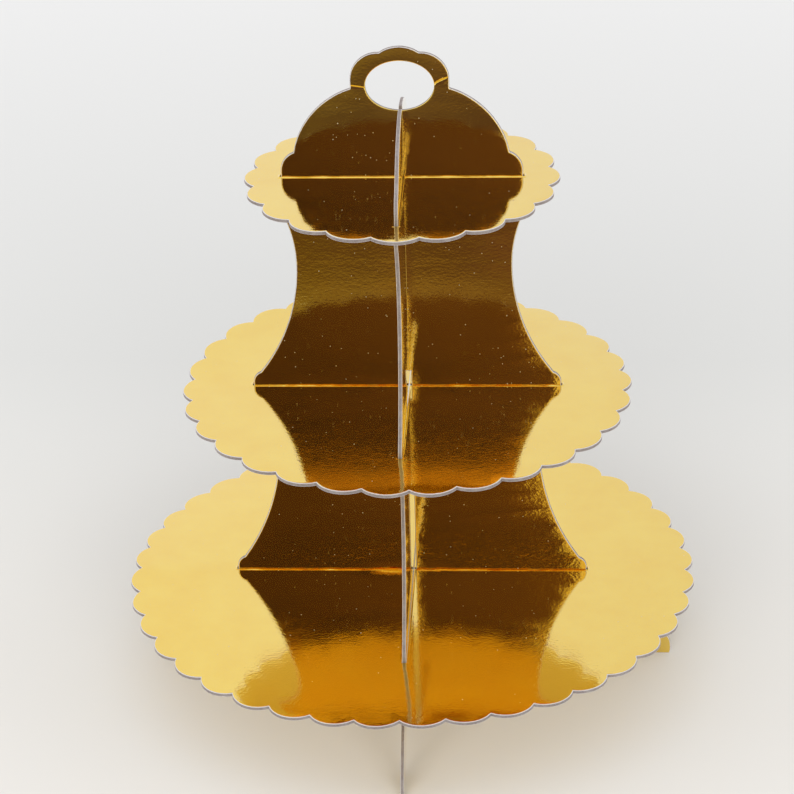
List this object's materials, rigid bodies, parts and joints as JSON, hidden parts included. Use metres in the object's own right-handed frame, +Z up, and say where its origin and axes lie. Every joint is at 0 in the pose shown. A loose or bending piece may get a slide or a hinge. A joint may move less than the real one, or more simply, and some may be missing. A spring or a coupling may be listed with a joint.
{
  "type": "tiered cake stand",
  "caption": "Flat-pack cake stand: round lobed foil-board trays on two crossed upright panels, with a finger-hole handle on top.",
  "frame": {"origin": "on the floor, under the crossing of the two upright panels", "axes": "+Z up, from the feet to the handle; +X along the handle panel; -Y is the front, along the cross panel"},
  "size_m": [0.2992, 0.2992, 0.3485],
  "materials": {
    "greyboard": "matte",
    "gold_foil_paper": "polished"
  },
  "bodies": {
    "cross_panel": {"cross_panel_core": "greyboard", "cross_panel_right_foil": "gold_foil_paper", "cross_panel_left_foil": "gold_foil_paper"},
    "handle_panel": {"handle_panel_core": "greyboard", "handle_panel_front_foil": "gold_foil_paper", "handle_panel_back_foil": "gold_foil_paper"},
    "bottom_tray": {"bottom_tray_core": "greyboard", "bottom_tray_top_foil": "gold_foil_paper", "bottom_tray_under_foil": "gold_foil_paper"},
    "middle_tray": {"middle_tray_core": "greyboard", "middle_tray_top_foil": "gold_foil_paper", "middle_tray_under_foil": "gold_foil_paper"},
    "top_tray": {"top_tray_core": "greyboard", "top_tray_top_foil": "gold_foil_paper", "top_tray_under_foil": "gold_foil_paper"}
  },
  "joints": [
    {"name": "handle_lift", "type": "slide", "parent": "cross_panel", "child": "handle_panel", "axis": [0, 0, 1], "range_m": [0, 0.28]},
    {"name": "bottom_tray_lift", "type": "slide", "parent": "handle_panel", "child": "bottom_tray", "axis": [0, 0, 1], "range_m": [0, 0.3]},
    {"name": "middle_tray_lift", "type": "slide", "parent": "bottom_tray", "child": "middle_tray", "axis": [0, 0, 1], "range_m": [0, 0.19]},
    {"name": "top_tray_lift", "type": "slide", "parent": "middle_tray", "child": "top_tray", "axis": [0, 0, 1], "range_m": [0, 0.072]}
  ]
}
